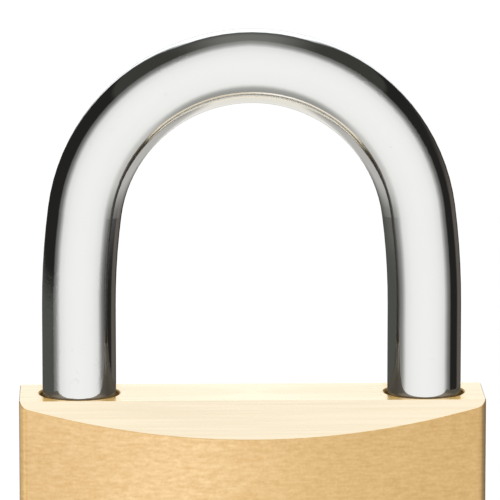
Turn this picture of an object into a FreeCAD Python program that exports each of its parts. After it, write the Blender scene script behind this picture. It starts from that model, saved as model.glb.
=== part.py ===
import FreeCAD, Part
import math
import os
import Sketcher
from FreeCAD import Placement, Rotation, Vector

# A keyed padlock: a solid brass body with a chromed round-rod shackle, a five-pin plug that
# turns a cam, and two spring-loaded bolts that enter notches in the shackle's legs.
#
# Millimetres. The origin is at the middle of the body's bottom face, +Z is up, X runs along
# the width with the long (heel) leg at -X, and the front face looks towards -Y.
# The lock stands shut and unlocked: plug turned to its open position, bolts drawn back.

DIMENSIONS = [
    # body
    ("body_width", 50.5),
    ("body_thickness", 16.5),
    ("body_height", 42.0),
    ("face_radius", 106.0),
    ("corner_radius", 1.2),
    ("land_depth", 9.3),
    ("bottom_chamfer", 0.5),
    ("rim_chamfer", 0.12),
    ("top_edge_radius", 0.15),
    # shackle
    ("rod_radius", 4.0),
    ("leg_spacing", 37.5),
    ("bow_radius", 18.22),
    ("bow_rise", 17.61),
    ("shoulder_radius", 79.0),
    ("leg_chamfer", 0.6),
    ("heel_end", 9.7),
    ("toe_end", 28.6),
    ("bore_radius", 4.35),
    ("heel_bore_floor", 3.5),
    ("toe_bore_floor", 28.2),
    # notches, flat and groove in the shackle's legs
    ("notch_depth", 2.25),
    ("notch_height", 7.6),
    ("flat_low", 15.0),
    ("flat_high", 29.0),
    ("groove_low", 11.7),
    ("groove_radius", 3.0),
    # bolts and their channel
    ("channel_radius", 3.5),
    ("channel_level", 34.0),
    ("channel_plug_length", 1.9),
    ("bolt_radius", 3.42),
    ("bolt_tip", 14.6),
    ("bolt_chamfer", 0.4),
    ("bolt_head_end", 8.0),
    ("bolt_arm_end", 3.5),
    ("arm_gap", 0.2),
    ("slot_width", 1.64),
    ("slot_reach", 2.4),
    ("slot_top", 35.2),
    # plug and cam
    ("plug_radius", 6.0),
    ("plug_bore_radius", 6.05),
    ("plug_face", 0.3),
    ("plug_top", 26.0),
    ("plug_bore_top", 26.2),
    ("plug_chamfer", 0.4),
    ("plug_groove_low", 22.2),
    ("plug_groove_high", 25.0),
    ("plug_groove_radius", 4.9),
    ("plug_slot_width", 2.1),
    ("plug_slot_floor", 24.5),
    ("keyway_top", 21.8),
    ("cam_radius", 3.35),
    ("cam_bore_radius", 3.45),
    ("cam_low", 26.1),
    ("cam_top", 30.3),
    ("tang_width", 1.9),
    ("tang_length", 9.0),
    ("tang_low", 24.6),
    ("drive_pin_radius", 0.7),
    ("drive_pin_offset", 1.06),
    ("drive_pin_top", 34.8),
    # pin stacks
    ("chamber_radius", 1.5),
    ("chamber_first", 4.6),
    ("chamber_pitch", 3.8),
    ("chamber_floor", 0.9),
    ("pin_radius", 1.42),
    ("key_pin_outer", 5.8),
    ("key_pin_nose", 0.7),
    # key pin lengths: the cuts of the key that this lock takes
    ("key_pin_1_length", 3.2),
    ("key_pin_2_length", 4.1),
    ("key_pin_3_length", 2.7),
    ("key_pin_4_length", 3.7),
    ("key_pin_5_length", 2.9),
    ("driver_inner", 6.1),
    ("driver_length", 5.5),
    ("driver_chamfer", 0.3),
    ("spool_waist", 0.95),
    ("spool_collar", 1.2),
    ("cap_inner", 20.9),
    # cross pins that keep the shackle and the plug in
    ("press_gap", 0.01),
    ("cross_pin_inner", -5.0),
    ("cross_pin_chamfer", 0.3),
    ("cross_hole_start", 9.0),
    ("shackle_pin_radius", 1.5),
    ("shackle_pin_across", -14.0),
    ("shackle_pin_level", 27.3),
    ("shackle_pin_outer", 7.1),
    ("plug_pin_radius", 1.25),
    ("plug_pin_across", -6.3),
    ("plug_pin_level", 23.6),
    ("plug_pin_outer", 7.9),
    # springs, whose lengths come from the space they fill
    ("spring_end_gap", 0.05),
    ("shackle_spring_coil", 3.4),
    ("shackle_spring_wire", 0.4),
    ("shackle_spring_turns", 5),
    ("bolt_spring_coil", 1.25),
    ("bolt_spring_wire", 0.2),
    ("bolt_spring_turns", 6),
    ("driver_spring_coil", 1.1),
    ("driver_spring_wire", 0.17),
    ("driver_spring_turns", 8),
]

PIN_COUNT = 5
# Driver pins with a waist, which resist picking.
SPOOL_DRIVERS = (2, 4)

# The keyway's outline in the plug, read with the plug in its open position: across (X), along (Y).
KEYWAY_OUTLINE = [
    (-1.1, -4.4),
    (0.5, -4.4),
    (0.5, -2.2),
    (1.1, -1.6),
    (1.1, 0.4),
    (0.5, 1.0),
    (0.5, 3.4),
    (-0.7, 3.4),
    (-0.7, 0.4),
    (-0.1, -0.2),
    (-0.1, -1.3),
    (-1.1, -2.0),
]


# ---------------------------------------------------------------- document helpers


def make_sheet(doc):
    sheet = doc.addObject("Spreadsheet::Sheet", "dims")
    for row, (alias, value) in enumerate(DIMENSIONS, start=1):
        sheet.set(f"A{row}", alias)
        sheet.set(f"B{row}", str(value))
        sheet.setAlias(f"B{row}", alias)
    doc.recompute()


def size(alias):
    return float(FreeCAD.ActiveDocument.dims.get(alias))


def origin_feature(body, role):
    return next(item for item in body.Origin.OriginFeatures if item.Role == role)


def new_body(doc, label):
    body = doc.addObject("PartDesign::Body", label)
    body.Label = label
    return body


def place(item, x=0.0, y=0.0, z=0.0, axis=(0, 0, 1), angle=0.0):
    """Turn a finished piece about its own origin, then move it to expressions x, y, z."""
    item.Placement = Placement(Vector(), Rotation(Vector(*axis), angle))
    for name, value in (("x", x), ("y", y), ("z", z)):
        item.setExpression(f"Placement.Base.{name}", str(value))


def new_sketch(body, name, role, offset="0"):
    """A sketch on one of the body's origin planes, moved along the plane's normal by offset."""
    sketch = body.newObject("Sketcher::SketchObject", f"{body.Name}_{name}")
    sketch.AttachmentSupport = (origin_feature(body, role), [""])
    sketch.MapMode = "FlatFace"
    sketch.setExpression("AttachmentOffset.Base.z", offset)
    return sketch


def drive(sketch, expression, *constraint):
    """Add a dimension and bind it to the sheet."""
    number = sketch.addConstraint(Sketcher.Constraint(*constraint))
    sketch.setExpression(f"Constraints[{number}]", expression)


def fix_point(sketch, geometry, point, x, y):
    """Bind a point's two coordinates; (-1, 1) is the sketch's own origin."""
    drive(sketch, str(x), "DistanceX", -1, 1, geometry, point, 1.0)
    drive(sketch, str(y), "DistanceY", -1, 1, geometry, point, 1.0)


def add_circle(sketch, radius, x="0", y="0"):
    circle = sketch.addGeometry(Part.Circle(Vector(1, 1, 0), Vector(0, 0, 1), 1.0), False)
    fix_point(sketch, circle, 3, x, y)
    drive(sketch, radius, "Radius", circle, 1.0)


def add_outline(sketch, corners):
    """A closed outline of straight lines, each corner a pair of expressions."""
    count = len(corners)
    turns = [2 * math.pi * number / count for number in range(count)]
    starts = [Vector(math.cos(turn), math.sin(turn), 0) for turn in turns]
    lines = [Part.LineSegment(starts[i], starts[(i + 1) % count]) for i in range(count)]
    numbers = sketch.addGeometry(lines, False)
    for i in range(count):
        following = numbers[(i + 1) % count]
        sketch.addConstraint(Sketcher.Constraint("Coincident", numbers[i], 2, following, 1))
    for number, (x, y) in zip(numbers, corners):
        fix_point(sketch, number, 1, x, y)


def add_rectangle(sketch, left, right, low, high):
    add_outline(sketch, [(left, low), (right, low), (right, high), (left, high)])


def finish_feature(body, feature, cuts):
    """Recompute, make the feature the body's tip, and see that it added or removed material."""
    before = body.Shape.Volume if body.Shape and not body.Shape.isNull() else 0.0
    body.Tip = feature
    body.Document.recompute()
    change = body.Shape.Volume - before
    if (change >= 0) if cuts else (change <= 0):
        raise RuntimeError(f"{feature.Name} changed {body.Label} by {change:.4f} mm3")
    return feature


def pad(body, sketch, length, reverse=False):
    feature = body.newObject("PartDesign::Pad", f"{sketch.Name}_pad")
    feature.Profile = sketch
    feature.Reversed = reverse
    feature.setExpression("Length", length)
    return finish_feature(body, feature, cuts=False)


def pocket(body, sketch, length, reverse=False, symmetric=False):
    """Cut against the sketch's normal, or along it when reversed."""
    feature = body.newObject("PartDesign::Pocket", f"{sketch.Name}_cut")
    feature.Profile = sketch
    feature.Reversed = reverse
    if symmetric:
        feature.SideType = "Symmetric"
    feature.setExpression("Length", length)
    return finish_feature(body, feature, cuts=True)


def repeat_upwards(body, feature, pitch, count):
    pattern = body.newObject("PartDesign::LinearPattern", f"{feature.Name}_row")
    pattern.Originals = [feature]
    pattern.Direction = (origin_feature(body, "Z_Axis"), [""])
    pattern.Occurrences = count
    pattern.setExpression("Length", f"{pitch} * {count - 1}")
    return finish_feature(body, pattern, cuts=True)


def dress(body, kind, edges, prop, value, name):
    """A Fillet or Chamfer on the chosen edges of the body as it stands."""
    base = body.Tip
    feature = body.newObject(f"PartDesign::{kind}", f"{body.Name}_{name}")
    feature.Base = (base, edges)
    feature.setExpression(prop, value)
    return finish_feature(body, feature, cuts=True)


def edges_where(body, test):
    """Names of the edges for which test(edge) is true."""
    return [f"Edge{i}" for i, edge in enumerate(body.Shape.Edges, start=1) if test(edge)]


def is_upright(edge):
    low, high = edge.BoundBox.ZMin, edge.BoundBox.ZMax
    flat = edge.BoundBox.XLength < 0.01 and edge.BoundBox.YLength < 0.01
    return flat and high - low > 1.0


def lies_at(edge, level):
    return abs(edge.BoundBox.ZMin - level) < 0.01 and abs(edge.BoundBox.ZMax - level) < 0.01


def is_ring(edge, radius):
    """A whole circle of about this radius."""
    is_circle = isinstance(edge.Curve, Part.Circle)
    return is_circle and abs(edge.Curve.Radius - radius) < 0.01


def turned_piece(doc, label, profile):
    """A lathe-turned piece about its own Z axis; profile is (radius, height) expressions."""
    body = new_body(doc, label)
    sketch = new_sketch(body, "profile", "XZ_Plane")
    add_outline(sketch, profile)
    turning = body.newObject("PartDesign::Revolution", f"{label}_turned")
    turning.Profile = sketch
    turning.ReferenceAxis = (origin_feature(body, "Z_Axis"), [""])
    turning.Angle = 360.0
    finish_feature(body, turning, cuts=False)
    return body


def chamfered_rod(radius, length, chamfer):
    """Profile of a plain pin with broken edges, standing on z = 0."""
    return [
        ("0", "0"),
        (f"{radius} - {chamfer}", "0"),
        (radius, chamfer),
        (radius, f"{length} - {chamfer}"),
        (f"{radius} - {chamfer}", length),
        ("0", length),
    ]


def coil_spring(doc, label, kind, length):
    """A round-wire coil spring about its own Z axis, standing on z = 0."""
    coil, wire, turns = (f"dims.{kind}_{part}" for part in ("coil", "wire", "turns"))
    first_turn = f"{wire} + dims.spring_end_gap"
    run = f"({length}) - ({first_turn}) * 2"
    helix = doc.addObject("Part::Helix", f"{label}_line")
    helix.SegmentLength = 1.0
    helix.setExpression("Radius", coil)
    helix.setExpression("Height", run)
    helix.setExpression("Pitch", f"({run}) / {turns}")
    helix.setExpression("Placement.Base.z", first_turn)
    section = doc.addObject("Part::Circle", f"{label}_wire")
    section.setExpression("Radius", wire)
    place(section, coil, "0", first_turn, axis=(1, 0, 0), angle=90.0)
    spring = doc.addObject("Part::Sweep", label)
    spring.Label = label
    spring.Sections = [section]
    spring.Spine = (helix, [])
    spring.Solid = True
    spring.Frenet = True
    doc.recompute()
    return spring


# ---------------------------------------------------------------- the body


def add_body_outline(sketch):
    """Front and back faces are long arcs about centres on the Y axis; the sides are flat."""
    half_width = size("body_width") / 2
    radius = size("face_radius")
    centre = radius - size("body_thickness") / 2
    swing = math.asin(half_width / radius)
    corner = centre - radius * math.cos(swing)
    up = Vector(0, 0, 1)
    down = -math.pi / 2
    front = Part.ArcOfCircle(
        Part.Circle(Vector(0, centre, 0), up, radius), down - swing, down + swing
    )
    back = Part.ArcOfCircle(
        Part.Circle(Vector(0, -centre, 0), up, radius), -down - swing, -down + swing
    )
    right = Part.LineSegment(Vector(half_width, corner, 0), Vector(half_width, -corner, 0))
    left = Part.LineSegment(Vector(-half_width, -corner, 0), Vector(-half_width, corner, 0))
    front, right, back, left = sketch.addGeometry([front, right, back, left], False)
    for first, second in ((front, right), (right, back), (back, left), (left, front)):
        sketch.addConstraint(Sketcher.Constraint("Coincident", first, 2, second, 1))
    for side, reach in ((right, "dims.body_width / 2"), (left, "-dims.body_width / 2")):
        sketch.addConstraint(Sketcher.Constraint("Vertical", side))
        drive(sketch, reach, "DistanceX", -1, 1, side, 1, half_width)
    for arc, sign, place_y in ((front, "", centre), (back, "-", -centre)):
        drive(sketch, "dims.face_radius", "Radius", arc, radius)
        drive(sketch, "0", "DistanceX", -1, 1, arc, 3, 0.0)
        offset = f"{sign}(dims.face_radius - dims.body_thickness / 2)"
        drive(sketch, offset, "DistanceY", -1, 1, arc, 3, place_y)


def cut_top_bevels(body):
    """Flat 45 degree bevels along the front and back of the top leave a level land between."""
    reach = "dims.body_thickness"
    for name, sign in (("front_bevel", "-"), ("back_bevel", "")):
        sketch = new_sketch(body, name, "YZ_Plane")
        ridge = f"{sign}dims.land_depth / 2"
        outer = f"{sign}(dims.land_depth / 2 + {reach})"
        add_outline(
            sketch,
            [
                (ridge, "dims.body_height"),
                (outer, "dims.body_height"),
                (outer, f"dims.body_height - {reach}"),
            ],
        )
        pocket(body, sketch, "dims.body_width * 2", symmetric=True)


def break_top_edges(body):
    """The top's outline is dressed with a fine radius; the ridges beside the land stay sharp."""
    lowest = size("body_height") - size("body_thickness") / 3
    ridge = size("land_depth") / 2

    def on_outline(edge):
        box = edge.BoundBox
        is_ridge = box.YLength < 0.01 and abs(abs(box.YMin) - ridge) < 0.01
        return box.ZMin > lowest and not is_ridge

    edges = edges_where(body, on_outline)
    dress(body, "Fillet", edges, "Radius", "dims.top_edge_radius", "top_break")


def bore_from_top(body, name, x, floor):
    sketch = new_sketch(body, name, "XY_Plane", "dims.body_height")
    add_circle(sketch, "dims.bore_radius", x)
    pocket(body, sketch, f"dims.body_height - {floor}")


def bore_from_bottom(body, name, radius, top):
    sketch = new_sketch(body, name, "XY_Plane")
    add_circle(sketch, radius)
    pocket(body, sketch, top, reverse=True)


def bore_from_side(body, name, radius, level, length):
    sketch = new_sketch(body, name, "YZ_Plane", "dims.body_width / 2")
    add_circle(sketch, radius, "0", level)
    return pocket(body, sketch, length)


def bore_from_back(body, name, radius, x, level):
    """A blind cross hole drilled from the back, so that it never shows on the front."""
    sketch = new_sketch(body, name, "XZ_Plane", "-dims.cross_hole_start")
    add_circle(sketch, f"{radius} + dims.press_gap", x, level)
    pocket(body, sketch, "dims.cross_hole_start - dims.cross_pin_inner", reverse=True)


def make_lock_body(doc):
    body = new_body(doc, "lock_body")
    outline = new_sketch(body, "outline", "XY_Plane")
    add_body_outline(outline)
    pad(body, outline, "dims.body_height")
    uprights = edges_where(body, is_upright)
    dress(body, "Fillet", uprights, "Radius", "dims.corner_radius", "corners")
    bottom = edges_where(body, lambda edge: lies_at(edge, 0.0))
    dress(body, "Chamfer", bottom, "Size", "dims.bottom_chamfer", "bottom_break")
    cut_top_bevels(body)
    break_top_edges(body)
    bore_from_top(body, "heel_bore", "-dims.leg_spacing / 2", "dims.heel_bore_floor")
    bore_from_top(body, "toe_bore", "dims.leg_spacing / 2", "dims.toe_bore_floor")
    top = size("body_height")
    rim = size("bore_radius")
    rims = edges_where(body, lambda edge: lies_at(edge, top) and is_ring(edge, rim))
    dress(body, "Chamfer", rims, "Size", "dims.rim_chamfer", "rim_break")
    bore_from_bottom(body, "plug_bore", "dims.plug_bore_radius", "dims.plug_bore_top")
    bore_from_bottom(body, "cam_bore", "dims.cam_bore_radius", "dims.channel_level")
    bore_from_side(
        body,
        "channel",
        "dims.channel_radius",
        "dims.channel_level",
        "(dims.body_width + dims.leg_spacing) / 2",
    )
    chamber = bore_from_side(
        body, "chamber", "dims.chamber_radius", "dims.chamber_first", "dims.body_width / 2"
    )
    repeat_upwards(body, chamber, "dims.chamber_pitch", PIN_COUNT)
    for name in ("shackle_pin", "plug_pin"):
        bore_from_back(
            body, f"{name}_hole", f"dims.{name}_radius", f"dims.{name}_across", f"dims.{name}_level"
        )
    return body


# ---------------------------------------------------------------- the shackle


def add_shackle_path(sketch):
    """Straight legs, a gentle shoulder arc at the top of each, and the round bow between."""
    leg = size("leg_spacing") / 2
    bow = size("bow_radius")
    shoulder = size("shoulder_radius")
    bow_level = size("body_height") + size("bow_rise")
    lean = math.acos((shoulder - leg) / (shoulder - bow))
    shoulder_level = bow_level - (shoulder - bow) * math.sin(lean)
    up = Vector(0, 0, 1)

    def arc(x, y, radius, start, end):
        return Part.ArcOfCircle(Part.Circle(Vector(x, y, 0), up, radius), start, end)

    def line(x, low, high):
        return Part.LineSegment(Vector(x, low, 0), Vector(x, high, 0))

    heel, toe, heel_arc, toe_arc, bow_arc = sketch.addGeometry(
        [
            line(-leg, size("heel_end"), shoulder_level),
            line(leg, size("toe_end"), shoulder_level),
            arc(shoulder - leg, shoulder_level, shoulder, math.pi - lean, math.pi),
            arc(leg - shoulder, shoulder_level, shoulder, 0.0, lean),
            arc(0, bow_level, bow, lean, math.pi - lean),
        ],
        False,
    )
    joins = ((heel, 2, heel_arc, 2), (heel_arc, 1, bow_arc, 2), (bow_arc, 1, toe_arc, 2))
    for ends in joins + ((toe_arc, 1, toe, 2),):
        sketch.addConstraint(Sketcher.Constraint("Tangent", *ends))
    for side, sign, end in ((heel, "-", "heel_end"), (toe, "", "toe_end")):
        fix_point(sketch, side, 1, f"{sign}dims.leg_spacing / 2", f"dims.{end}")
        sketch.addConstraint(Sketcher.Constraint("Vertical", side))
    for shoulder_arc in (heel_arc, toe_arc):
        drive(sketch, "dims.shoulder_radius", "Radius", shoulder_arc, shoulder)
    drive(sketch, "dims.bow_radius", "Radius", bow_arc, bow)
    fix_point(sketch, bow_arc, 3, "0", "dims.body_height + dims.bow_rise")


def cut_leg_notch(body, name, sign, low, high):
    """A flat-bottomed cut in the inner side of a leg, right across the rod."""
    sketch = new_sketch(body, name, "XZ_Plane")
    floor = f"{sign}(dims.leg_spacing / 2 - dims.rod_radius + dims.notch_depth)"
    mouth = f"{sign}(dims.leg_spacing / 2 - dims.rod_radius * 2)"
    add_rectangle(sketch, floor, mouth, low, high)
    pocket(body, sketch, "dims.rod_radius * 4", symmetric=True)


def cut_heel_groove(body):
    """The round groove under the flat: the lifted shackle can swing about this leg."""
    sketch = new_sketch(body, "groove", "XZ_Plane")
    leg = "dims.leg_spacing / 2"
    add_rectangle(
        sketch,
        f"dims.groove_radius - {leg}",
        f"dims.rod_radius * 2 - {leg}",
        "dims.groove_low",
        "dims.flat_low",
    )
    axis = sketch.addGeometry(Part.LineSegment(Vector(-1, 0, 0), Vector(-1, 1, 0)), True)
    fix_point(sketch, axis, 1, f"-{leg}", "dims.groove_low")
    fix_point(sketch, axis, 2, f"-{leg}", "dims.flat_low")
    groove = body.newObject("PartDesign::Groove", "shackle_groove_cut")
    groove.Profile = sketch
    groove.ReferenceAxis = (sketch, ["Axis0"])
    groove.Angle = 360.0
    finish_feature(body, groove, cuts=True)


def make_shackle(doc):
    body = new_body(doc, "shackle")
    path = new_sketch(body, "path", "XZ_Plane")
    add_shackle_path(path)
    section = new_sketch(body, "section", "XY_Plane", "dims.heel_end")
    add_circle(section, "dims.rod_radius", "-dims.leg_spacing / 2")
    doc.recompute()
    rod = body.newObject("PartDesign::AdditivePipe", "shackle_rod")
    rod.Profile = section
    rod.Spine = (path, [])
    finish_feature(body, rod, cuts=False)
    ends = edges_where(
        body,
        lambda edge: lies_at(edge, size("heel_end")) or lies_at(edge, size("toe_end")),
    )
    dress(body, "Chamfer", ends, "Size", "dims.leg_chamfer", "end_break")
    low = "dims.channel_level - dims.notch_height / 2"
    high = "dims.channel_level + dims.notch_height / 2"
    cut_leg_notch(body, "heel_notch", "-", low, high)
    cut_leg_notch(body, "toe_notch", "", low, high)
    cut_leg_notch(body, "heel_flat", "-", "dims.flat_low", "dims.flat_high")
    cut_heel_groove(body)
    return body


def make_shackle_spring(doc):
    room = "dims.heel_end - dims.heel_bore_floor"
    spring = coil_spring(doc, "shackle_spring", "shackle_spring", room)
    place(spring, "-dims.leg_spacing / 2", "0", "dims.heel_bore_floor")


# ---------------------------------------------------------------- the bolts


def make_bolt(doc, label, turn):
    """A round bolt whose inner half is a half-round arm, slotted for one of the cam's pins.

    Modelled as the heel bolt, tip towards -X and arm at -Y; the toe bolt is the same piece
    turned half way round.
    """
    body = new_body(doc, label)
    section = new_sketch(body, "section", "YZ_Plane", "-dims.bolt_tip")
    add_circle(section, "dims.bolt_radius", "0", "dims.channel_level")
    pad(body, section, "dims.bolt_tip + dims.bolt_arm_end")
    relief = new_sketch(body, "relief", "XY_Plane", "dims.channel_level")
    add_rectangle(
        relief, "-dims.bolt_head_end", "dims.bolt_tip", "-dims.arm_gap / 2", "dims.bolt_radius * 2"
    )
    pocket(body, relief, "dims.bolt_radius * 4", symmetric=True)
    slot = new_sketch(body, "slot", "XY_Plane", "dims.slot_top")
    add_rectangle(
        slot,
        "dims.drive_pin_offset - dims.slot_width / 2",
        "dims.drive_pin_offset + dims.slot_width / 2",
        "-dims.slot_reach",
        "dims.slot_reach",
    )
    pocket(body, slot, "dims.bolt_radius * 2")
    tip = -size("bolt_tip")
    edges = edges_where(body, lambda edge: edge.BoundBox.XMax < tip + 0.01)
    dress(body, "Chamfer", edges, "Size", "dims.bolt_chamfer", "tip_break")
    place(body, angle=turn)


def make_bolt_spring(doc, label, sign):
    """Between one bolt's arm and the other bolt's head, pushing the two apart."""
    room = "dims.bolt_head_end - dims.bolt_arm_end"
    spring = coil_spring(doc, label, "bolt_spring", room)
    place(
        spring,
        f"{sign}dims.bolt_arm_end",
        f"{'' if sign else '-'}dims.channel_radius / 2",
        "dims.channel_level",
        axis=(0, 1, 0),
        angle=-90.0 if sign else 90.0,
    )


def make_channel_plug(doc):
    """The brass disc that closes the bolt channel, flush with the body's side."""
    radius = "dims.channel_radius - dims.press_gap"
    body = turned_piece(
        doc,
        "channel_plug",
        [("0", "0"), (radius, "0"), (radius, "dims.channel_plug_length"),
         ("0", "dims.channel_plug_length")],
    )
    place(
        body,
        "dims.body_width / 2 - dims.channel_plug_length",
        "0",
        "dims.channel_level",
        axis=(0, 1, 0),
        angle=90.0,
    )


# ---------------------------------------------------------------- plug and cam


def make_plug_core(doc):
    body = turned_piece(
        doc,
        "plug_core",
        [
            ("0", "dims.plug_face"),
            ("dims.plug_radius - dims.plug_chamfer", "dims.plug_face"),
            ("dims.plug_radius", "dims.plug_face + dims.plug_chamfer"),
            ("dims.plug_radius", "dims.plug_groove_low"),
            ("dims.plug_groove_radius", "dims.plug_groove_low"),
            ("dims.plug_groove_radius", "dims.plug_groove_high"),
            ("dims.plug_radius", "dims.plug_groove_high"),
            ("dims.plug_radius", "dims.plug_top"),
            ("0", "dims.plug_top"),
        ],
    )
    keyway = new_sketch(body, "keyway", "XY_Plane")
    add_outline(keyway, KEYWAY_OUTLINE)
    pocket(body, keyway, "dims.keyway_top", reverse=True)
    slot = new_sketch(body, "cam_slot", "XY_Plane", "dims.plug_top")
    add_rectangle(
        slot,
        "-dims.plug_radius * 2",
        "dims.plug_radius * 2",
        "-dims.plug_slot_width / 2",
        "dims.plug_slot_width / 2",
    )
    pocket(body, slot, "dims.plug_top - dims.plug_slot_floor")
    hole = new_sketch(body, "key_pin_hole", "XZ_Plane", "-dims.chamber_floor")
    add_circle(hole, "dims.chamber_radius", "0", "dims.chamber_first")
    first = pocket(body, hole, "dims.plug_radius")
    repeat_upwards(body, first, "dims.chamber_pitch", PIN_COUNT)
    return body


def make_cam(doc):
    """The plug's tang drives it; its two upright pins draw the bolts in as it turns."""
    body = new_body(doc, "cam")
    hub = new_sketch(body, "hub", "XY_Plane", "dims.cam_low")
    add_circle(hub, "dims.cam_radius")
    pad(body, hub, "dims.cam_top - dims.cam_low")
    pins = new_sketch(body, "drive_pins", "XY_Plane", "dims.cam_top")
    for x, y in (("", "-"), ("-", "")):
        add_circle(
            pins, "dims.drive_pin_radius", f"{x}dims.drive_pin_offset", f"{y}dims.drive_pin_offset"
        )
    pad(body, pins, "dims.drive_pin_top - dims.cam_top")
    tang = new_sketch(body, "tang", "XY_Plane", "dims.cam_low")
    add_rectangle(
        tang,
        "-dims.tang_length / 2",
        "dims.tang_length / 2",
        "-dims.tang_width / 2",
        "dims.tang_width / 2",
    )
    pad(body, tang, "dims.cam_low - dims.tang_low", reverse=True)
    return body


# ---------------------------------------------------------------- pin stacks


def chamber_level(number):
    return f"dims.chamber_first + dims.chamber_pitch * {number - 1}"


def make_key_pin(doc, number):
    """Points inwards to the key; its tip is a blunt cone. It stands at -Y of its own origin."""
    length = f"dims.key_pin_{number}_length"
    body = turned_piece(
        doc,
        f"key_pin_{number}",
        [
            ("0", "0"),
            ("dims.key_pin_nose / 2", "0"),
            ("dims.pin_radius", "dims.key_pin_nose"),
            ("dims.pin_radius", length),
            ("0", length),
        ],
    )
    inner_end = f"dims.key_pin_outer - {length}"
    place(body, "0", inner_end, chamber_level(number), axis=(1, 0, 0), angle=-90.0)


def spool_profile():
    """A driver pin with a waist between two collars."""
    far_collar = "dims.driver_length - dims.spool_collar"
    return [
        ("0", "0"),
        ("dims.pin_radius - dims.driver_chamfer", "0"),
        ("dims.pin_radius", "dims.driver_chamfer"),
        ("dims.pin_radius", "dims.spool_collar"),
        ("dims.spool_waist", "dims.spool_collar"),
        ("dims.spool_waist", far_collar),
        ("dims.pin_radius", far_collar),
        ("dims.pin_radius", "dims.driver_length - dims.driver_chamfer"),
        ("dims.pin_radius - dims.driver_chamfer", "dims.driver_length"),
        ("0", "dims.driver_length"),
    ]


def make_driver_pin(doc, number):
    if number in SPOOL_DRIVERS:
        profile = spool_profile()
    else:
        profile = chamfered_rod("dims.pin_radius", "dims.driver_length", "dims.driver_chamfer")
    body = turned_piece(doc, f"driver_pin_{number}", profile)
    place(body, "dims.driver_inner", "0", chamber_level(number), axis=(0, 1, 0), angle=90.0)


def make_driver_spring(doc, number):
    start = "dims.driver_inner + dims.driver_length"
    room = f"dims.cap_inner - ({start})"
    spring = coil_spring(doc, f"driver_spring_{number}", "driver_spring", room)
    place(spring, start, "0", chamber_level(number), axis=(0, 1, 0), angle=90.0)


def make_chamber_cap(doc, number):
    """The brass peg that closes a drilled chamber, dressed flush with the body's side."""
    radius = "dims.chamber_radius - dims.press_gap"
    length = "dims.body_width / 2 - dims.cap_inner"
    body = turned_piece(
        doc, f"chamber_cap_{number}", [("0", "0"), (radius, "0"), (radius, length), ("0", length)]
    )
    place(body, "dims.cap_inner", "0", chamber_level(number), axis=(0, 1, 0), angle=90.0)


def make_cross_pin(doc, label, name):
    """A steel pin driven in from the back, its end a little below the face."""
    length = f"dims.{name}_outer - dims.cross_pin_inner"
    body = turned_piece(
        doc, label, chamfered_rod(f"dims.{name}_radius", length, "dims.cross_pin_chamfer")
    )
    place(
        body,
        f"dims.{name}_across",
        "dims.cross_pin_inner",
        f"dims.{name}_level",
        axis=(1, 0, 0),
        angle=-90.0,
    )


# ---------------------------------------------------------------- build and write


def make_padlock(doc):
    make_lock_body(doc)
    make_shackle(doc)
    make_shackle_spring(doc)
    make_bolt(doc, "heel_bolt", 0.0)
    make_bolt(doc, "toe_bolt", 180.0)
    make_bolt_spring(doc, "bolt_spring_front", "")
    make_bolt_spring(doc, "bolt_spring_back", "-")
    make_channel_plug(doc)
    make_plug_core(doc)
    make_cam(doc)
    for number in range(1, PIN_COUNT + 1):
        make_key_pin(doc, number)
        make_driver_pin(doc, number)
        make_driver_spring(doc, number)
        make_chamber_cap(doc, number)
    make_cross_pin(doc, "shackle_retaining_pin", "shackle_pin")
    make_cross_pin(doc, "plug_retaining_pin", "plug_pin")
    doc.recompute()


def sub_parts(doc):
    return [item for item in doc.Objects if item.TypeId in ("PartDesign::Body", "Part::Sweep")]


def check(doc):
    for item in doc.Objects:
        if "Invalid" in item.State or "Error" in item.State:
            raise RuntimeError(f"{item.Name} failed: {item.State}")
    for item in sub_parts(doc):
        if item.Shape.isNull() or not item.Shape.isValid() or not item.Shape.Solids:
            raise RuntimeError(f"{item.Label} has no valid solid")


def write(doc):
    os.makedirs("parts", exist_ok=True)
    for item in sub_parts(doc):
        item.Shape.exportStep(f"parts/{item.Label}.step")
        box = item.Shape.BoundBox
        print(
            f"{item.Label:24s} {item.Shape.Volume:10.2f} mm3  x {box.XMin:7.2f} {box.XMax:7.2f}"
            f"  y {box.YMin:6.2f} {box.YMax:6.2f}  z {box.ZMin:6.2f} {box.ZMax:6.2f}"
        )


document = FreeCAD.newDocument("padlock")
make_sheet(document)
make_padlock(document)
check(document)
write(document)
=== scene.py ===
"""Solid brass padlock: finishes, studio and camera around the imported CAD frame."""

import math

import bpy
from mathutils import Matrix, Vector


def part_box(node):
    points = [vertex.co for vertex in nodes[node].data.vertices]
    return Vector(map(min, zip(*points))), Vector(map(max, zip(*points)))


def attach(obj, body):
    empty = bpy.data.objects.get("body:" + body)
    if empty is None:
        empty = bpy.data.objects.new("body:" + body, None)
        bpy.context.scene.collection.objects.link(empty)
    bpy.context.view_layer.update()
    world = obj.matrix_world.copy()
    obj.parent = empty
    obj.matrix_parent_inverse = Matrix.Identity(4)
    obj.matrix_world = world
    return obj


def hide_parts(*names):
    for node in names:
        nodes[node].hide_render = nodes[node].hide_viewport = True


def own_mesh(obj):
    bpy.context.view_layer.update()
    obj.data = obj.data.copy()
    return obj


MM = 0.001
LEG_OFFSET = 18.75 * MM
BORE_RADIUS = 4.35 * MM
RIM_WIDTH = 0.32 * MM
RIM_FULL_WIDTH = 0.08 * MM
BELOW_THE_BORES = 30.0 * MM
BORE_HEIGHT = 34.0 * MM

PIN_COUNT = 5
SPRING_WIRE_RADIUS = 0.17 * MM
SPRING_TURNS = 8
STEPS_PER_TURN = 24
WIRE_SIDES = 10

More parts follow.
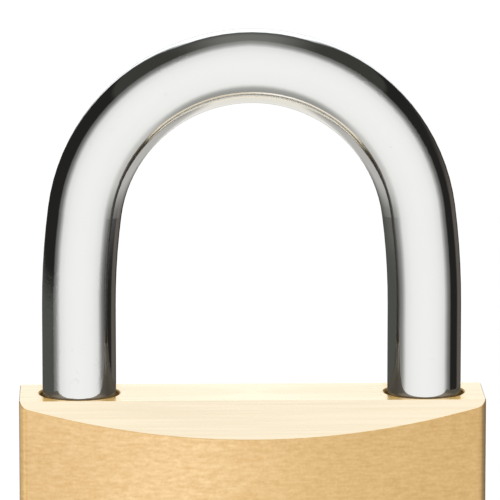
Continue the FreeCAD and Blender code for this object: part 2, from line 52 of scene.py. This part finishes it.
# colours are linear RGB
BRASS = (0.735, 0.483, 0.205)
BRASS_DEEP = (0.62, 0.37, 0.14)
# painted highlight: the next two colours are a paler, less yellow brass for the bevels and the
# land, standing in for their blown-out highlight
BRASS_BEVEL_PAINTED_HIGHLIGHT = (0.80, 0.64, 0.40)
BRASS_LAND_PAINTED_HIGHLIGHT = (0.84, 0.69, 0.43)
BRASS_RIM = (0.88, 0.56, 0.18)
BRASS_WORN = (0.86, 0.66, 0.38)
# painted shade: a darker brass for the side faces
BRASS_SIDE_PAINTED_SHADE = (0.46, 0.29, 0.115)
# from the darkest to the palest line left by the grinding belt
LINE_RANGE = (0.115, 0.108, 0.078)
CAP_BRASS = (0.78, 0.51, 0.22)
CAP_BRASS_DEEP = (0.66, 0.40, 0.15)
CHROME = (0.90, 0.905, 0.895)
CHROME_CLOUDY = (0.86, 0.87, 0.87)
CHROME_DULL = (0.78, 0.78, 0.76)
STEEL = (0.53, 0.52, 0.50)
STEEL_DARK = (0.36, 0.35, 0.33)
STEEL_WORN = (0.72, 0.71, 0.69)
ZINC_YELLOW = (0.62, 0.54, 0.36)
SPRING_WIRE = (0.42, 0.41, 0.40)
WIRE_MARKS = (0.68, 0.67, 0.66)

# painted reflections: colours that surfaces take only where the shackle, or the other leg,
# reflects them
PAINTED_LAND_IN_LEGS = (0.05, 0.045, 0.04)
PAINTED_LAND_IN_BOW = (0.88, 0.78, 0.60)
PAINTED_LEG_IN_LEG = (0.285, 0.27, 0.26)
MIRRORED_ROUGHNESS = 0.9

BLACK_WALL = (0.018, 0.0175, 0.016)
GREY_WALL = (0.080, 0.083, 0.074)
LIT_CORNER = (0.115, 0.10, 0.088)
DARK_ROOF = (0.045, 0.046, 0.040)
GREY_ROOF = (0.17, 0.17, 0.16)
GREY_TABLE = (0.50, 0.49, 0.47)
TABLE_EDGE = (0.30, 0.30, 0.285)
WHITE_FRONT = (0.97, 0.97, 0.955)
BRIGHT_BACK = (1.26, 1.30, 1.32)
WHITE_UNDER_BACK = (0.9, 0.88, 0.84)
CREAM_BELOW = (0.86, 0.83, 0.76)
BACKGROUND = (1.12, 1.12, 1.12)
FLOOR_WHITE = (0.92, 0.92, 0.915)
# how white the studio is at each cosine of the angle from straight ahead
FRONT_FADE = [
    (0.0, 0.0), (0.07, 0.11), (0.21, 0.21), (0.33, 0.46),
    (0.44, 0.79), (0.56, 0.87), (0.74, 0.95), (1.0, 1.0),
]

FLOOR_HALF_WIDTH = 4.0
FLOOR_DROP = 0.05 * MM

# softbox tints
DAYLIGHT = (0.65, 0.755, 1.0)
COLD_STRIP = (0.50, 0.62, 1.0)
COLD_BOX = (0.5, 0.55, 1.0)

CAMERA_PLACE = (-0.01491, -0.58787, 0.16111)
CAMERA_AIM = (-0.00019, 0.0, 0.05768)
CAMERA_LENS = 396.9
SENSOR_WIDTH = 36.0
CAMERA_REACH = 50.0

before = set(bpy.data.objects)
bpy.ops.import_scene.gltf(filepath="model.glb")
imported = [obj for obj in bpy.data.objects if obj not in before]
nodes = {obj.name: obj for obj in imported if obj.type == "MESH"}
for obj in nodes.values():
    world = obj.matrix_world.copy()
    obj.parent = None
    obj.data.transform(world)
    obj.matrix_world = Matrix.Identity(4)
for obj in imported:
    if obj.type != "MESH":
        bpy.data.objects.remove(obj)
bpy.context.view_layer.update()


# ---------------------------------------------------------------- node helpers


class Graph:
    """Adds nodes to one node tree. Any input takes a socket, a number or a tuple."""

    def __init__(self, tree):
        self.tree = tree
        self.tree.nodes.clear()

    def add(self, kind, inputs=None, **settings):
        node = self.tree.nodes.new(kind)
        for name, value in settings.items():
            setattr(node, name, value)
        for name, value in (inputs or {}).items():
            self.feed(node.inputs[name], value)
        return node

    def feed(self, socket, value):
        if isinstance(value, bpy.types.NodeSocket):
            self.tree.links.new(value, socket)
        elif isinstance(value, tuple) and len(value) == 3 and socket.type == "RGBA":
            socket.default_value = (*value, 1.0)
        else:
            socket.default_value = value

    def math(self, operation, first, second=0.0):
        return self.add("ShaderNodeMath", {0: first, 1: second}, operation=operation).outputs[0]

    def times(self, first, second):
        return self.math("MULTIPLY", first, second)

    def plus(self, first, second):
        return self.math("ADD", first, second)

    def minus(self, first, second):
        return self.math("SUBTRACT", first, second)

    def size_of(self, value):
        return self.math("ABSOLUTE", value)

    def step(self, value, low, high):
        """0 below low, 1 above high, smooth between them; low may be the larger one."""
        inputs = {"Value": value, "From Min": low, "From Max": high}
        return self.add("ShaderNodeMapRange", inputs, interpolation_type="SMOOTHSTEP").outputs[0]

    def scale_to(self, value, low, high, to_low, to_high):
        """to_low at low and to_high at high, straight between them and level beyond."""
        inputs = {
            "Value": value,
            "From Min": low,
            "From Max": high,
            "To Min": to_low,
            "To Max": to_high,
        }
        return self.add("ShaderNodeMapRange", inputs).outputs[0]

    def mix(self, share, first, second):
        """Colour mix: first where share is 0, second where it is 1."""
        node = self.add("ShaderNodeMix", data_type="RGBA")
        self.feed(node.inputs[0], share)
        self.feed(node.inputs[6], first)
        self.feed(node.inputs[7], second)
        return node.outputs[2]

    def split(self, vector):
        return self.add("ShaderNodeSeparateXYZ", {0: vector}).outputs

    def join(self, x, y, z):
        return self.add("ShaderNodeCombineXYZ", {0: x, 1: y, 2: z}).outputs[0]

    def vector(self, operation, first, second=(0.0, 0.0, 0.0)):
        inputs = {0: first, 1: second}
        return self.add("ShaderNodeVectorMath", inputs, operation=operation)

    def stretch(self, vector, scale):
        return self.vector("MULTIPLY", vector, scale).outputs[0]

    def noise(self, vector, scale=1.0, detail=2.0, roughness=0.5):
        inputs = {"Vector": vector, "Scale": scale, "Detail": detail, "Roughness": roughness}
        return self.add("ShaderNodeTexNoise", inputs).outputs["Fac"]

    def bump(self, height, strength, distance, normal=None):
        inputs = {"Height": height, "Strength": strength, "Distance": distance}
        if normal is not None:
            inputs["Normal"] = normal
        return self.add("ShaderNodeBump", inputs).outputs[0]


def new_material(name):
    material = bpy.data.materials.new(name)
    material.use_nodes = True
    return material, Graph(material.node_tree)


def metal(graph, colour, roughness, normal=None, metallic=1.0, **fixed):
    """A metal surface, whose uniform values go straight to the shader's own sockets."""
    shader = graph.add("ShaderNodeBsdfPrincipled", {"Metallic": metallic})
    graph.feed(shader.inputs["Base Color"], colour)
    graph.feed(shader.inputs["Roughness"], roughness)
    if normal is not None:
        graph.feed(shader.inputs["Normal"], normal)
    for name, value in fixed.items():
        shader.inputs[name.replace("_", " ")].default_value = value
    output = graph.add("ShaderNodeOutputMaterial")
    graph.tree.links.new(shader.outputs[0], output.inputs[0])
    return shader


def worn_edges(graph, radius):
    """1 on sharp edges and 0 on open faces: how far rounding would turn the normal there.
    Also gives the rounded normal."""
    rounded = graph.add("ShaderNodeBevel", {"Radius": radius}, samples=6).outputs[0]
    plain = graph.add("ShaderNodeNewGeometry").outputs["Normal"]
    agreement = graph.vector("DOT_PRODUCT", rounded, plain).outputs["Value"]
    return graph.step(graph.minus(1.0, agreement), 0.004, 0.06), rounded


# ---------------------------------------------------------------- finishes


def near_bores(graph, place, level):
    """1 on the rims of the shackle's two bores, inside them and on the level land just in front
    of and behind each bore.
    """
    aside, deep, height = graph.split(graph.vector("ABSOLUTE", place).outputs[0])
    x = graph.minus(aside, LEG_OFFSET)
    radius = graph.math("SQRT", graph.plus(graph.times(x, x), graph.times(deep, deep)))
    rim = graph.step(radius, BORE_RADIUS + RIM_WIDTH, BORE_RADIUS + RIM_FULL_WIDTH)
    beside = graph.step(graph.size_of(x), 4.7 * MM, 3.8 * MM)
    by_the_legs = graph.times(graph.times(beside, graph.step(deep, 2.4 * MM, 3.0 * MM)), level)
    top = graph.step(height, BELOW_THE_BORES, BORE_HEIGHT)
    return graph.times(graph.math("MAXIMUM", rim, by_the_legs), top)


def painted_land_reflection(graph, place, upper):
    """Painted reflection: masks for where the land, seen in glossy rays, is painted dark, so
    that the legs mirror it only faintly, and where it is painted pale, so that the bow shows its
    middle bright."""
    path = graph.add("ShaderNodeLightPath")
    from_afar = graph.step(path.outputs["Ray Length"], 29.0 * MM, 31.5 * MM)
    middle = graph.step(graph.size_of(graph.split(place)[0]), 14.5 * MM, 10.5 * MM)
    image = graph.times(path.outputs["Is Glossy Ray"], upper)
    pale = graph.times(image, graph.times(from_afar, middle))
    return graph.minus(image, pale), pale


def brushed_brass(name, colour=BRASS, deep=BRASS_DEEP, rims=False):
    """Faces ground along their width; the land and bevels are finer and cleaner, and their paler
    colour is a painted highlight; the side faces are darkened with painted shade.
    """
    material, graph = new_material(name)
    coordinates = graph.add("ShaderNodeTexCoord")
    place = coordinates.outputs["Object"]
    normal = graph.split(coordinates.outputs["Normal"])
    upper = graph.step(normal[2], 0.45, 0.62)

    along = graph.stretch(place, (140.0, 140.0, 3000.0))
    long_lines = graph.noise(along, detail=3.0, roughness=0.6)
    short_lines = graph.noise(graph.stretch(place, (900.0, 900.0, 2900.0)))
    grain = graph.noise(place, scale=3200.0)
    top_lines = graph.noise(graph.stretch(place, (60.0, 3200.0, 3200.0)))
    stains = graph.noise(graph.stretch(place, (28.0, 28.0, 60.0)), detail=4.0, roughness=0.6)

    fine = graph.plus(graph.times(short_lines, 0.5), graph.times(grain, 0.3))
    lines = graph.plus(graph.times(long_lines, 0.2), fine)
    tone = graph.scale_to(lines, 0.36, 0.64, -0.5, 0.5)
    patina = graph.step(stains, 0.42, 0.72)
    side_colour = graph.mix(graph.times(patina, 0.22), colour, deep)
    line_colour = graph.stretch(LINE_RANGE, graph.join(tone, tone, tone))
    side_colour = graph.vector("ADD", side_colour, line_colour).outputs[0]
    # painted shade: the side faces, across the width, are mixed towards a darker brass
    flank = graph.step(graph.size_of(normal[0]), 0.80, 0.97)
    side_colour = graph.mix(graph.times(flank, 0.75), side_colour, BRASS_SIDE_PAINTED_SHADE)
    # painted highlight: the land and bevels get a paler, less yellow brass than the ground faces
    level = graph.step(normal[2], 0.80, 0.95)
    top_painted_highlight_and_lines = graph.mix(level, BRASS_BEVEL_PAINTED_HIGHLIGHT, BRASS_LAND_PAINTED_HIGHLIGHT)
    top_tone = graph.scale_to(top_lines, 0.35, 0.65, 0.0, 0.09)
    top_painted_highlight_and_lines = graph.mix(top_tone, top_painted_highlight_and_lines, BRASS)
    base = graph.mix(upper, side_colour, top_painted_highlight_and_lines)
    edges, rounded = worn_edges(graph, 0.12 * MM)
    base = graph.mix(graph.times(edges, 0.5), base, BRASS_WORN)
    metallic = 1.0
    painted_reflection = 0.0
    if rims:
        near = near_bores(graph, place, level)
        base = graph.mix(near, base, BRASS_RIM)
        metallic = graph.scale_to(near, 0.0, 1.0, 1.0, 0.30)
        # painted reflection: where only glossy rays see it, the land is painted dark and rough,
        # or pale in its middle
        painted_reflection, pale = painted_land_reflection(graph, place, upper)
        base = graph.mix(graph.times(painted_reflection, 0.85), base, PAINTED_LAND_IN_LEGS)
        base = graph.mix(graph.times(pale, 0.7), base, PAINTED_LAND_IN_BOW)

    side_rough = graph.scale_to(lines, 0.3, 0.7, 0.36, 0.27)
    top_rough = graph.scale_to(top_lines, 0.3, 0.7, 0.24, 0.32)
    roughness = graph.add("ShaderNodeMix", {0: upper, 2: side_rough, 3: top_rough}).outputs[0]
    roughness = graph.math("MAXIMUM", roughness, graph.times(painted_reflection, MIRRORED_ROUGHNESS))

    line_height = graph.times(lines, graph.minus(1.0, upper))
    top_height = graph.times(graph.times(top_lines, upper), 0.35)
    plain = graph.add("ShaderNodeNewGeometry").outputs["Normal"]
    normals = {0: upper, 4: rounded, 5: plain}
    soft = graph.add("ShaderNodeMix", normals, data_type="VECTOR").outputs[1]
    bumped = graph.bump(graph.plus(line_height, top_height), 0.7, 0.014 * MM, soft)
    shader = metal(
        graph,
        base,
        roughness,
        bumped,
        metallic,
        Anisotropic=0.45,
        Coat_Weight=0.25,
        Coat_Roughness=0.14,
    )
    tangent = graph.add("ShaderNodeTangent", direction_type="RADIAL", axis="Z")
    graph.feed(shader.inputs["Tangent"], tangent.outputs[0])
    return material


def turned_brass(name, axis, centre):
    """Brass off a lathe: fine rings about the piece's own axis."""
    material, graph = new_material(name)
    place = graph.add("ShaderNodeTexCoord").outputs["Object"]
    parts = graph.split(graph.vector("SUBTRACT", place, centre).outputs[0])
    first, second = [parts[i] for i in range(3) if i != axis]
    squares = graph.plus(graph.times(first, first), graph.times(second, second))
    radius = graph.math("SQRT", squares)
    turned = graph.join(graph.times(radius, 9000.0), graph.times(parts[axis], 5200.0), 0.0)
    rings = graph.noise(turned)
    stains = graph.noise(place, scale=260.0, detail=4.0, roughness=0.6)
    base = graph.mix(graph.scale_to(rings, 0.3, 0.7, 0.0, 0.3), BRASS, BRASS_WORN)
    base = graph.mix(graph.times(graph.step(stains, 0.45, 0.7), 0.5), base, BRASS_DEEP)
    edges, rounded = worn_edges(graph, 0.08 * MM)
    base = graph.mix(graph.times(edges, 0.5), base, BRASS_WORN)
    roughness = graph.scale_to(stains, 0.3, 0.7, 0.24, 0.38)
    metal(graph, base, roughness, graph.bump(rings, 0.4, 0.01 * MM, rounded), Anisotropic=0.3)
    return material


def chrome_plate(name):
    """Plated rod: almost a mirror, with a slow waviness, hairlines and a few dull flecks."""
    material, graph = new_material(name)
    place = graph.add("ShaderNodeTexCoord").outputs["Object"]
    waves = graph.noise(place, scale=170.0)
    hairlines = graph.noise(graph.stretch(place, (5200.0, 5200.0, 420.0)))
    flecks = graph.noise(place, scale=620.0, detail=4.0, roughness=0.65)
    dull = graph.step(flecks, 0.64, 0.76)
    base = graph.mix(graph.scale_to(waves, 0.3, 0.7, 0.0, 0.25), CHROME, CHROME_CLOUDY)
    base = graph.mix(graph.times(dull, 0.5), base, CHROME_DULL)
    roughness = graph.plus(
        graph.scale_to(hairlines, 0.3, 0.75, 0.035, 0.07), graph.times(dull, 0.14)
    )
    # painted reflection: for glossy rays from more than about 12 mm away the rod is painted a
    # flat grey and made rough, so one leg shows in the other only as a soft dark band
    path = graph.add("ShaderNodeLightPath")
    far = graph.step(path.outputs["Ray Length"], 12.0 * MM, 22.0 * MM)
    painted_reflection = graph.times(path.outputs["Is Glossy Ray"], far)
    base = graph.mix(painted_reflection, base, PAINTED_LEG_IN_LEG)
    roughness = graph.math("MAXIMUM", roughness, graph.times(painted_reflection, MIRRORED_ROUGHNESS))
    pit_zone = graph.step(graph.noise(place, scale=75.0), 0.56, 0.66)
    pits = graph.step(graph.noise(place, scale=2400.0), 0.52, 0.74)
    height = graph.plus(waves, graph.times(hairlines, 0.012))
    waved = graph.bump(height, 0.35, 0.09 * MM)
    pitted = graph.bump(graph.times(pits, pit_zone), 0.3, 0.012 * MM, waved)
    metal(graph, base, roughness, pitted)
    return material


def plated_steel(name):
    """Zinc plated steel: cloudy, a little iridescent, with worn edges."""
    material, graph = new_material(name)
    place = graph.add("ShaderNodeTexCoord").outputs["Object"]
    clouds = graph.noise(place, scale=420.0, detail=4.0, roughness=0.6)
    hue = graph.noise(place, scale=230.0)
    scratches = graph.noise(graph.stretch(place, (900.0, 6000.0, 2600.0)))
    base = graph.mix(graph.step(clouds, 0.35, 0.7), STEEL, STEEL_DARK)
    base = graph.mix(graph.times(graph.step(hue, 0.5, 0.72), 0.35), base, ZINC_YELLOW)
    edges, rounded = worn_edges(graph, 0.1 * MM)
    base = graph.mix(graph.times(edges, 0.6), base, STEEL_WORN)
    roughness = graph.scale_to(clouds, 0.3, 0.7, 0.3, 0.46)
    metal(graph, base, roughness, graph.bump(scratches, 0.35, 0.01 * MM, rounded))
    return material


def drawn_wire(name):
    """Spring wire, dark from drawing and oil."""
    material, graph = new_material(name)
    place = graph.add("ShaderNodeTexCoord").outputs["Object"]
    oil = graph.noise(place, scale=700.0, detail=3.0)
    marks = graph.noise(graph.stretch(place, (5000.0, 5000.0, 9000.0)))
    base = graph.mix(graph.step(oil, 0.4, 0.7), SPRING_WIRE, STEEL_DARK)
    base = graph.mix(graph.scale_to(marks, 0.35, 0.7, 0.0, 0.25), base, WIRE_MARKS)
    roughness = graph.scale_to(oil, 0.3, 0.7, 0.24, 0.4)
    metal(graph, base, roughness, graph.bump(marks, 0.3, 0.006 * MM))
    return material


def middle_of(node):
    low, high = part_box(node)
    return tuple((low + high) / 2)


def finish_piece(node, material):
    """Every material slot of the CAD node gets this finish."""
    for slot in nodes[node].material_slots:
        slot.material = material


X_AXIS, Y_AXIS, Z_AXIS = range(3)

steel = plated_steel("plated_steel")
wire = drawn_wire("spring_wire")
cap_brass = brushed_brass("cap_brass", CAP_BRASS, CAP_BRASS_DEEP)
finish_piece("lock_body", brushed_brass("body_brass", rims=True))
finish_piece("shackle", chrome_plate("chrome_plate"))
finish_piece("plug_core", turned_brass("plug_brass", Z_AXIS, (0.0, 0.0, 0.0)))
for node in nodes:
    if node.startswith("chamber_cap") or node == "channel_plug":
        finish_piece(node, cap_brass)
    elif node.startswith("key_pin"):
        finish_piece(node, turned_brass(node + "_brass", Y_AXIS, middle_of(node)))
    elif node.startswith("driver_pin"):
        finish_piece(node, turned_brass(node + "_brass", X_AXIS, middle_of(node)))
    elif "spring" in node:
        finish_piece(node, wire)
    elif "bolt" in node or node == "cam" or node.endswith("retaining_pin"):
        finish_piece(node, steel)


# ---------------------------------------------------------------- driver springs


def coil_along_x(name, low, high):
    """A coil spring that fills the box from low to high, its axis along X. The wire's ends
    are capped."""
    middle = (low + high) / 2
    coil_radius = (high.z - low.z) / 2 - SPRING_WIRE_RADIUS
    length = high.x - low.x - 2 * SPRING_WIRE_RADIUS
    along = Vector((1.0, 0.0, 0.0))
    steps = SPRING_TURNS * STEPS_PER_TURN
    vertices = []
    for step in range(steps + 1):
        turn = math.tau * step / STEPS_PER_TURN
        outward = Vector((0.0, math.cos(turn), math.sin(turn)))
        x = low.x + SPRING_WIRE_RADIUS + length * step / steps
        centre = Vector((x, middle.y, middle.z)) + outward * coil_radius
        for side in range(WIRE_SIDES):
            angle = math.tau * side / WIRE_SIDES
            rim = outward * math.cos(angle) + along * math.sin(angle)
            vertices.append(centre + rim * SPRING_WIRE_RADIUS)
    count = len(vertices)
    faces = [tuple(range(WIRE_SIDES)), tuple(range(count - 1, count - WIRE_SIDES - 1, -1))]
    for step in range(steps):
        for side in range(WIRE_SIDES):
            first = step * WIRE_SIDES + side
            second = step * WIRE_SIDES + (side + 1) % WIRE_SIDES
            faces.append((second, first, first + WIRE_SIDES, second + WIRE_SIDES))
    mesh = bpy.data.meshes.new(name)
    mesh.from_pydata(vertices, [], faces)
    mesh.shade_smooth()
    return mesh


def make_driver_springs():
    """Each solid driver spring is hidden and replaced by a coil of wire with a mesh of its own,
    attached to the body; a rigid solid couldn't shorten as its driver pin is pushed out.
    """
    for number in range(1, PIN_COUNT + 1):
        node = f"driver_spring_{number}"
        low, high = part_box(node)
        spring = bpy.data.objects.new(f"{node}_coil", coil_along_x(node, low, high))
        bpy.context.scene.collection.objects.link(spring)
        spring.data.materials.append(wire)
        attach(spring, "body")
        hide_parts(node)
        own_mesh(spring)


make_driver_springs()


# ---------------------------------------------------------------- studio


def fill_ramp(ramp, stops):
    """Grey stops (position, level) with straight runs between them."""
    while len(ramp.elements) < len(stops):
        ramp.elements.new(0.5)
    for element, (position, level) in zip(ramp.elements, stops):
        element.position = position
        element.color = (level, level, level, 1.0)


def make_world():
    """Reflections see a studio: a wide bright front, dark sides and roof, a bright back.
    Everything else sees plain white."""
    world = bpy.data.worlds.new("studio")
    world.use_nodes = True
    world.cycles.sampling_method = "NONE"
    bpy.context.scene.world = world
    graph = Graph(world.node_tree)
    x, y, z = graph.split(graph.add("ShaderNodeTexCoord").outputs["Generated"])
    toward = graph.times(y, -1.0)
    aside = graph.size_of(x)

    right = graph.step(x, -0.1, 0.2)
    low = graph.step(z, 0.30, -0.14)
    left_low = graph.times(graph.minus(1.0, right), graph.step(z, -0.125, -0.175))
    dark = graph.mix(left_low, BLACK_WALL, GREY_WALL)
    stripe = graph.times(graph.step(toward, -0.92, -0.86), graph.step(toward, -0.46, -0.60))
    dark = graph.mix(graph.times(graph.times(stripe, right), low), dark, LIT_CORNER)
    over = graph.plus(z, graph.times(aside, -0.84))
    dark = graph.mix(graph.step(over, -0.03, 0.03), dark, DARK_ROOF)
    skylight = graph.times(graph.step(z, 0.62, 0.92), graph.step(aside, 0.44, 0.08))
    dark = graph.mix(skylight, dark, GREY_ROOF)
    dark = graph.mix(graph.step(z, -0.21, -0.52), dark, GREY_TABLE)
    steep = graph.step(z, -0.74, -0.92)
    dark = graph.mix(steep, dark, TABLE_EDGE)

    # the white front reaches further up, and less far at the sides of the roof
    lifted = graph.plus(toward, graph.times(z, 0.10))
    slanted = graph.times(aside, graph.math("POWER", graph.math("MAXIMUM", z, 0.0), 3.0))
    lifted = graph.plus(lifted, graph.times(slanted, -0.4))
    front = graph.add("ShaderNodeValToRGB", {"Fac": lifted})
    fill_ramp(front.color_ramp, FRONT_FADE)
    seen = graph.times(front.outputs["Color"], graph.scale_to(steep, 0.0, 1.0, 1.0, 0.4))
    room = graph.mix(seen, dark, WHITE_FRONT)

    middle = graph.step(aside, 0.34, 0.20)
    height = graph.times(graph.step(z, 0.72, 0.62), graph.step(z, -0.04, 0.06))
    backward = graph.step(toward, -0.1, -0.3)
    behind = graph.times(graph.times(middle, height), backward)
    room = graph.mix(behind, room, BRIGHT_BACK)
    under = graph.times(graph.times(middle, graph.step(z, -0.26, -0.36)), backward)
    room = graph.mix(under, room, WHITE_UNDER_BACK)

    below = graph.times(graph.step(z, -0.45, -0.65), graph.step(toward, 0.10, -0.05))
    below = graph.times(below, graph.step(aside, 0.45, 0.10))
    room = graph.mix(below, room, CREAM_BELOW)

    reflected = graph.add("ShaderNodeLightPath").outputs["Is Glossy Ray"]
    colour = graph.mix(reflected, BACKGROUND, room)
    background = graph.add("ShaderNodeBackground", {"Color": colour, "Strength": 1.0})
    output = graph.add("ShaderNodeOutputWorld")
    graph.tree.links.new(background.outputs[0], output.inputs[0])


def make_floor():
    """A pale sweep of floor. Reflections pass it by, and from below it is clear."""
    half = FLOOR_HALF_WIDTH
    mesh = bpy.data.meshes.new("studio_floor")
    corners = [(-half, -half, 0.0), (half, -half, 0.0), (half, half, 0.0), (-half, half, 0.0)]
    mesh.from_pydata(corners, [], [(0, 1, 2, 3)])
    floor = bpy.data.objects.new("studio_floor", mesh)
    floor.location.z = -FLOOR_DROP
    floor.visible_glossy = False
    floor.visible_shadow = False
    bpy.context.scene.collection.objects.link(floor)
    material, graph = new_material("floor_paper")
    white = graph.add("ShaderNodeBsdfDiffuse", {"Color": FLOOR_WHITE})
    clear = graph.add("ShaderNodeBsdfTransparent")
    side = graph.add("ShaderNodeNewGeometry").outputs["Backfacing"]
    paper = graph.add("ShaderNodeMixShader", {0: side, 1: white.outputs[0], 2: clear.outputs[0]})
    output = graph.add("ShaderNodeOutputMaterial")
    graph.tree.links.new(paper.outputs[0], output.inputs[0])
    mesh.materials.append(material)


def softbox(name, towards, distance, size, radiance, receivers, tint=(1.0, 1.0, 1.0)):
    """An area light that faces the lock and lights only the pieces in receivers. It stands
    towards an azimuth from the front and an elevation, both in degrees."""
    light = bpy.data.lights.new(name, "AREA")
    light.shape = "RECTANGLE"
    light.size, light.size_y = size
    light.energy = radiance * size[0] * size[1] * 4.0
    light.color = tint
    lamp = bpy.data.objects.new(name, light)
    bpy.context.scene.collection.objects.link(lamp)
    aim = Vector((0.0, 0.0, 0.04))
    azimuth, elevation = (math.radians(angle) for angle in towards)
    direction = Vector(
        (
            math.sin(azimuth) * math.cos(elevation),
            -math.cos(azimuth) * math.cos(elevation),
            math.sin(elevation),
        )
    )
    lamp.location = aim + direction * distance
    lamp.rotation_euler = (-direction).to_track_quat("-Z", "Y").to_euler()
    lamp.visible_camera = False
    lamp.light_linking.receiver_collection = receivers


def make_lights():
    brass = bpy.data.collections.new("brass_pieces")
    for node in nodes:
        if node in ("lock_body", "plug_core", "channel_plug") or node.startswith("chamber_cap"):
            brass.objects.link(nodes[node])
    softbox("roof_box", (0.0, 89.0), 1.2, (1.9, 1.6), 0.99, brass, DAYLIGHT)
    softbox("front_strip", (-7.0, -8.0), 1.6, (0.36, 1.4), 0.90, brass, COLD_STRIP)
    softbox("front_left_box", (-22.0, -8.0), 1.6, (0.8, 1.2), 0.26, brass, COLD_BOX)
    softbox("left_side_box", (-100.0, -20.0), 1.4, (2.6, 1.0), 0.58, brass)
    softbox("right_side_box", (97.0, -18.0), 1.4, (2.0, 1.1), 0.23, brass)
    softbox("back_box", (180.0, -24.0), 1.4, (1.3, 0.8), 0.80, brass)
    softbox("left_roof_box", (-105.0, 42.0), 1.4, (1.5, 1.1), 0.42, brass)
    softbox("right_roof_box", (105.0, 42.0), 1.4, (1.5, 1.1), 0.42, brass)


def make_camera():
    """A long lens from the front, a little above and a little left of the middle."""
    data = bpy.data.cameras.new("camera")
    data.sensor_width = SENSOR_WIDTH
    data.lens = CAMERA_LENS
    data.clip_end = CAMERA_REACH
    camera = bpy.data.objects.new("camera", data)
    camera.location = CAMERA_PLACE
    ahead = Vector(CAMERA_AIM) - camera.location
    camera.rotation_euler = ahead.to_track_quat("-Z", "Y").to_euler()
    bpy.context.scene.collection.objects.link(camera)
    bpy.context.scene.camera = camera


make_world()
make_floor()
make_lights()
make_camera()
bpy.context.scene.view_settings.view_transform = "Standard"
